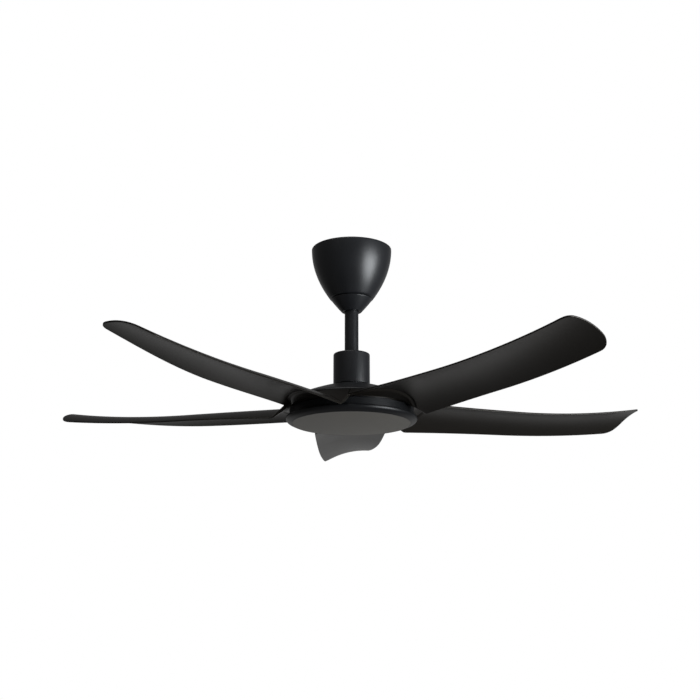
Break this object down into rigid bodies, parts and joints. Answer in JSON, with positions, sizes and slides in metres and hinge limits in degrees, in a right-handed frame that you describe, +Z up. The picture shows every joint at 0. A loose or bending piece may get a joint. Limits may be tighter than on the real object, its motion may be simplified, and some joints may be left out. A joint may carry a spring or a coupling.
{
  "type": "ceiling fan with light",
  "caption": "Ceiling fan with upswept, overlapping-root blades on a direct-drive hub, hung on a short downrod from a bell canopy, with a round flat light below the hub.",
  "frame": {"origin": "centre of the ceiling bracket's top face, on the ceiling", "axes": "+Z up along the downrod and the fan's spin axis; the fan hangs towards -Z; -Y is the front"},
  "size_m": [1.1765, 1.1258, 0.3608],
  "materials": {
    "satin_black_paint": "satin",
    "black_abs": "satin",
    "blade_abs": "satin",
    "zinc_steel": "zinc plated",
    "blackened_steel": "black oxide",
    "cast_alloy": "die cast",
    "magnet": "sintered",
    "core_steel": "laminated",
    "copper": "enamelled wire",
    "bearing_steel": "ground",
    "roller_rubber": "moulded",
    "board_green": "solder mask",
    "board_white": "white mask",
    "led_phosphor": "phosphor",
    "case_white": "moulded",
    "case_grey": "moulded",
    "terminal_nylon": "moulded",
    "wire_jacket": "PVC",
    "opal": "frosted opal"
  },
  "bodies": {
    "ceiling_mount": {"ceiling_bracket": "zinc_steel", "roller_bolt": "zinc_steel", "roller_nut": "zinc_steel", "roller_washers": "zinc_steel", "roller_split_pin": "zinc_steel", "terminal_block": "terminal_nylon"},
    "roller": {"rubber_roller": "roller_rubber"},
    "hanger": {"shackle": "zinc_steel", "shackle_bolt": "zinc_steel", "shackle_nut": "zinc_steel", "shackle_split_pin": "zinc_steel", "downrod": "satin_black_paint", "receiver_box": "case_white", "wire_bundle": "wire_jacket", "shaft_coupling": "cast_alloy", "coupling_screws": "blackened_steel", "motor_shaft": "zinc_steel", "shaft_nuts": "zinc_steel", "bearing_inner_races": "bearing_steel", "bearing_balls": "bearing_steel", "stator_core": "core_steel", "stator_windings": "copper", "light_housing": "satin_black_paint", "light_trim": "black_abs", "trim_screws": "zinc_steel", "led_board": "board_white", "leds": "led_phosphor", "led_driver": "case_white", "control_board": "board_green"},
    "canopy": {"canopy_shell": "black_abs", "canopy_cap": "black_abs", "canopy_screws": "blackened_steel"},
    "collar": {"coupling_cover": "black_abs"},
    "rotor": {"hub_cover": "black_abs", "hub_plate": "cast_alloy", "motor_bell": "cast_alloy", "magnet_ring": "magnet", "bearing_outer_races": "bearing_steel", "bell_screws": "zinc_steel", "blade_screws": "zinc_steel", "cover_screws": "zinc_steel", "blade_1": "blade_abs", "blade_2": "blade_abs", "blade_3": "blade_abs", "blade_4": "blade_abs", "blade_5": "blade_abs"},
    "light_cover": {"diffuser": "opal"}
  },
  "joints": [
    {"name": "hanger_swing", "type": "hinge", "parent": "ceiling_mount", "child": "hanger", "pos_m": [0, 0, -0.032], "axis": [1, 0, 0], "range_deg": [-2.5, 2.5]},
    {"name": "roller_spin", "type": "hinge", "parent": "ceiling_mount", "child": "roller", "pos_m": [0, 0, -0.032], "axis": [1, 0, 0], "continuous": true},
    {"name": "rotor_spin", "type": "hinge", "parent": "hanger", "child": "rotor", "pos_m": [0, 0, -0.3265], "axis": [0, 0, 1], "continuous": true},
    {"name": "canopy_slide", "type": "slide", "parent": "hanger", "child": "canopy", "axis": [0, 0, -1], "range_m": [0, 0.04]},
    {"name": "collar_slide", "type": "slide", "parent": "hanger", "child": "collar", "axis": [0, 0, 1], "range_m": [0, 0.04]},
    {"name": "diffuser_twist", "type": "hinge", "parent": "hanger", "child": "light_cover", "pos_m": [0, 0, -0.3565], "axis": [0, 0, 1], "range_deg": [-25, 0]}
  ]
}
